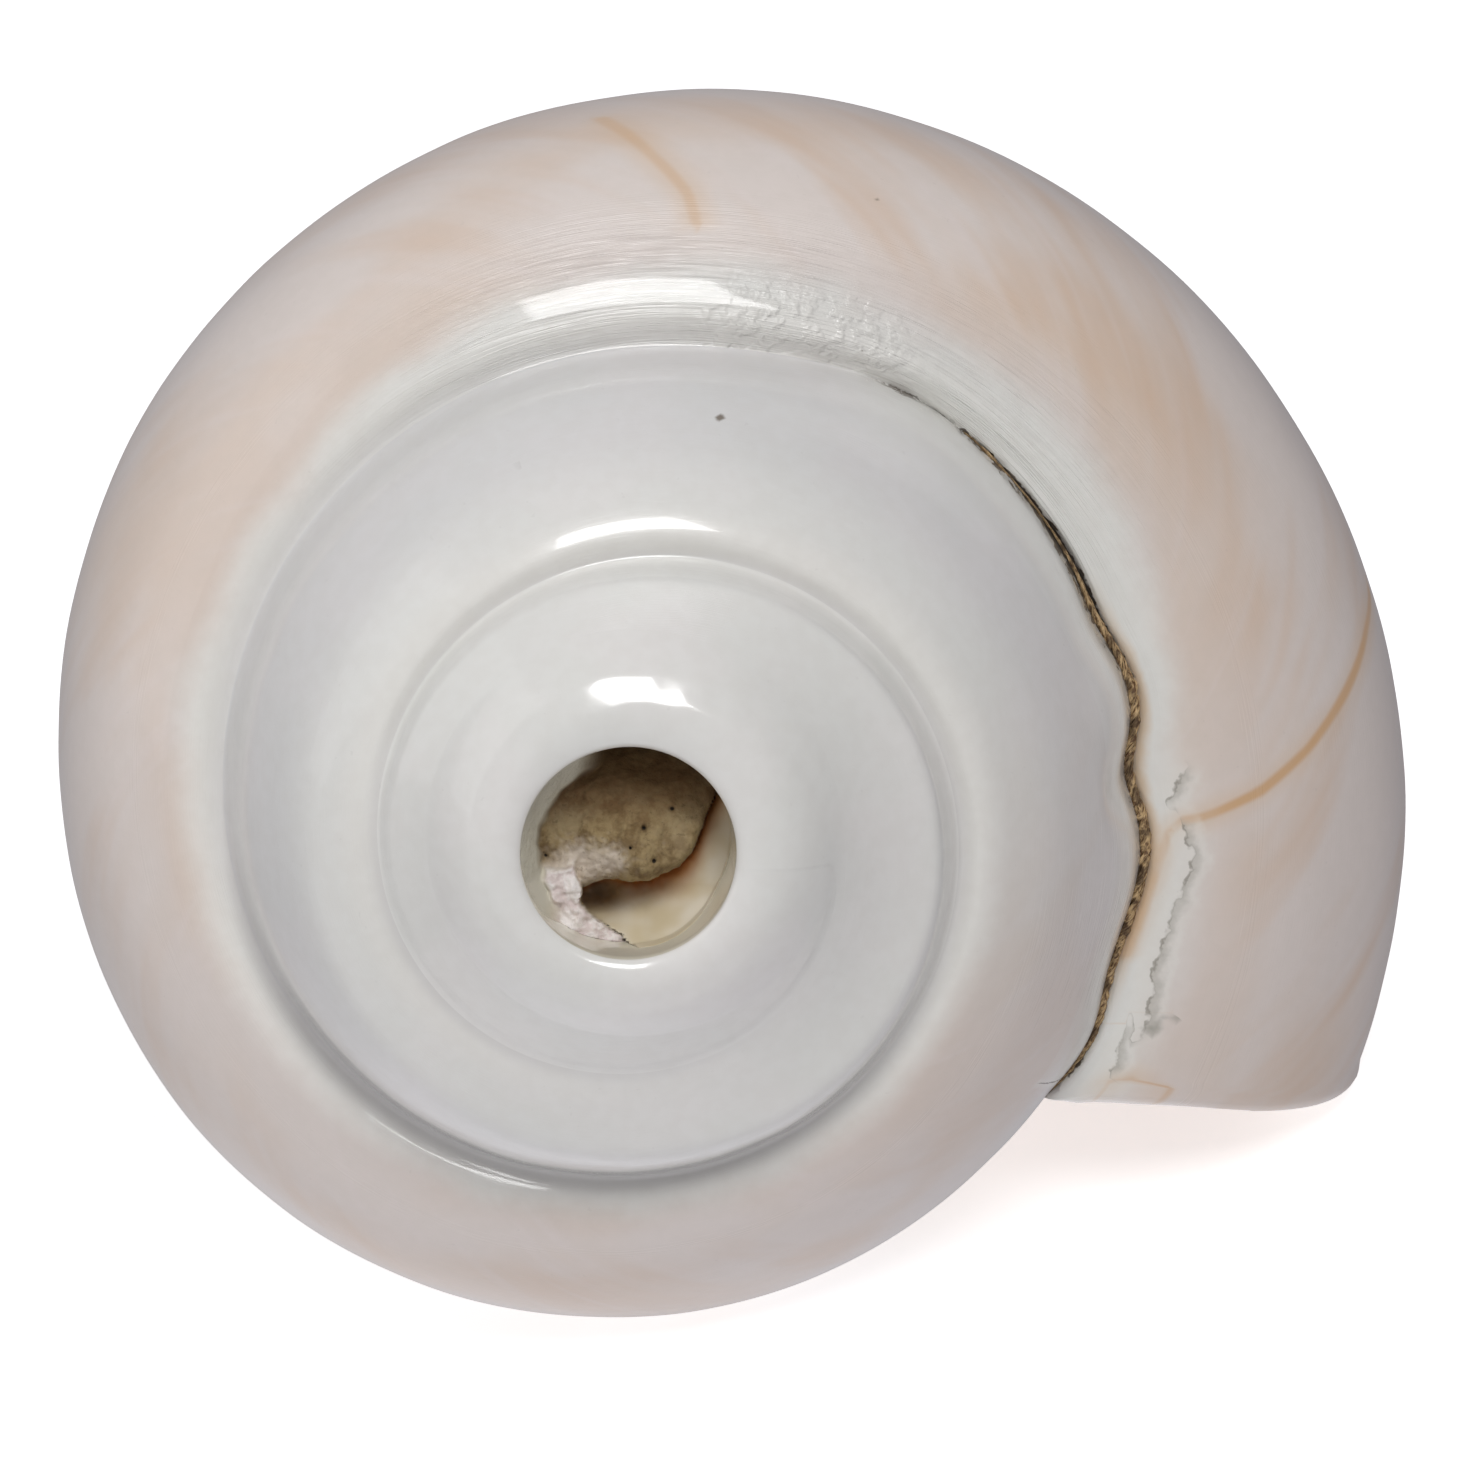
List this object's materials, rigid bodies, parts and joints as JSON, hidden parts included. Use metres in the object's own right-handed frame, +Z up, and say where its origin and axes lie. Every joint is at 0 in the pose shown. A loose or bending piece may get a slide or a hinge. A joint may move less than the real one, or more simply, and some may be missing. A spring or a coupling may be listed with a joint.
{
  "type": "conch shell",
  "caption": "Polished chank conch shell with a stepped round spire, sawn and bored at its top for blowing, a wide mouth and an open canal, lying mouth down.",
  "frame": {"origin": "centre of the bounding box's base, on the surface that the shell lies on", "axes": "+Z up; the shell's length runs along Y, with the bored spire towards -Y and the canal towards +Y"},
  "size_m": [0.0912, 0.158, 0.0775],
  "materials": {
    "polished_shell": "polished white to pinkish cream shell"
  },
  "bodies": {
    "root": {"shell": "polished_shell"}
  },
  "joints": []
}
